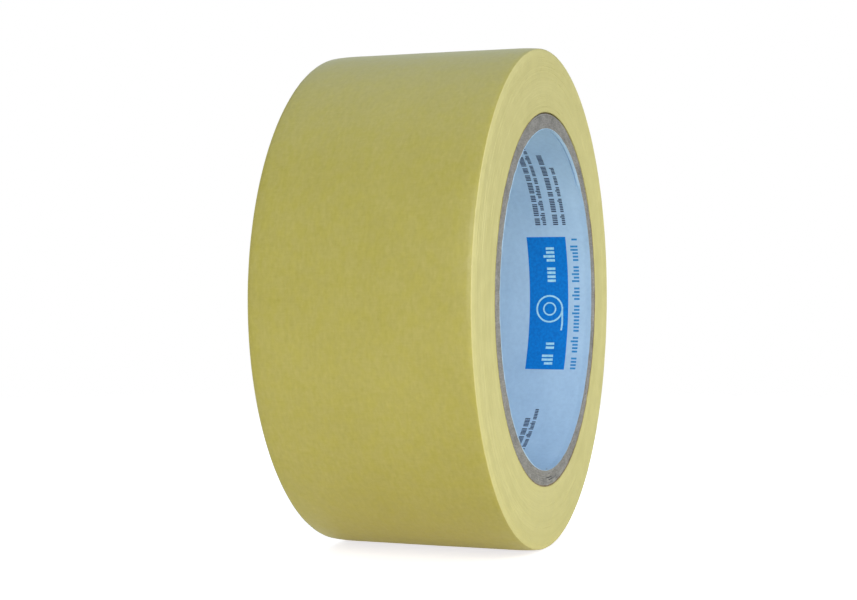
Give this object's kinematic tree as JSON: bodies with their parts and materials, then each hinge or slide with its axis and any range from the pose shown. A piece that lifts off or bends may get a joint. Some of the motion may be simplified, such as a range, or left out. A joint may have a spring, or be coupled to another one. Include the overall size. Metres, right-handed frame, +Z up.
{
  "type": "masking tape roll",
  "caption": "Roll of crepe paper masking tape on a spirally wound paperboard core with a printed lining, with a free end that peels off the roll.",
  "frame": {"origin": "centre of the core's bore, halfway across the tape's width", "axes": "+Y along the roll's axis, away from the end whose lining print is nearest; +Z up with the roll standing on its rim; the tape's free end is on the +X side"},
  "size_m": [0.1108, 0.048, 0.1108],
  "materials": {
    "printed_liner": "light blue printed paper, matt",
    "core_board": "grey-brown recycled board, matt, fibrous at the cut edge",
    "core_kraft": "brown kraft paper, matt",
    "adhesive": "pale amber rubber adhesive, tacky, slightly glossy",
    "tape_backing": "saturated crepe paper with a release coat, fine wrinkles across the tape, low sheen",
    "tape_edge": "slit edges of many turns of crepe paper, matt"
  },
  "bodies": {
    "roll": {"core_liner": "printed_liner", "core_ply_1": "core_board", "core_ply_2": "core_board", "core_ply_3": "core_board", "core_ply_4": "core_board", "core_ply_5": "core_board", "core_ply_6": "core_board", "core_outer_ply": "core_kraft", "first_turn_adhesive": "adhesive", "first_turn_backing": "tape_backing", "tape_winding": "tape_edge", "outer_turn_adhesive": "adhesive", "outer_turn_backing": "tape_backing"},
    "tape_end": {"tape_end_adhesive": "adhesive", "tape_end_backing": "tape_backing"}
  },
  "joints": [
    {"name": "tape_end_peel", "type": "hinge", "parent": "roll", "child": "tape_end", "pos_m": [0.03575, 0, 0.04249], "axis": [0, -1, 0], "range_deg": [0, 130]}
  ]
}
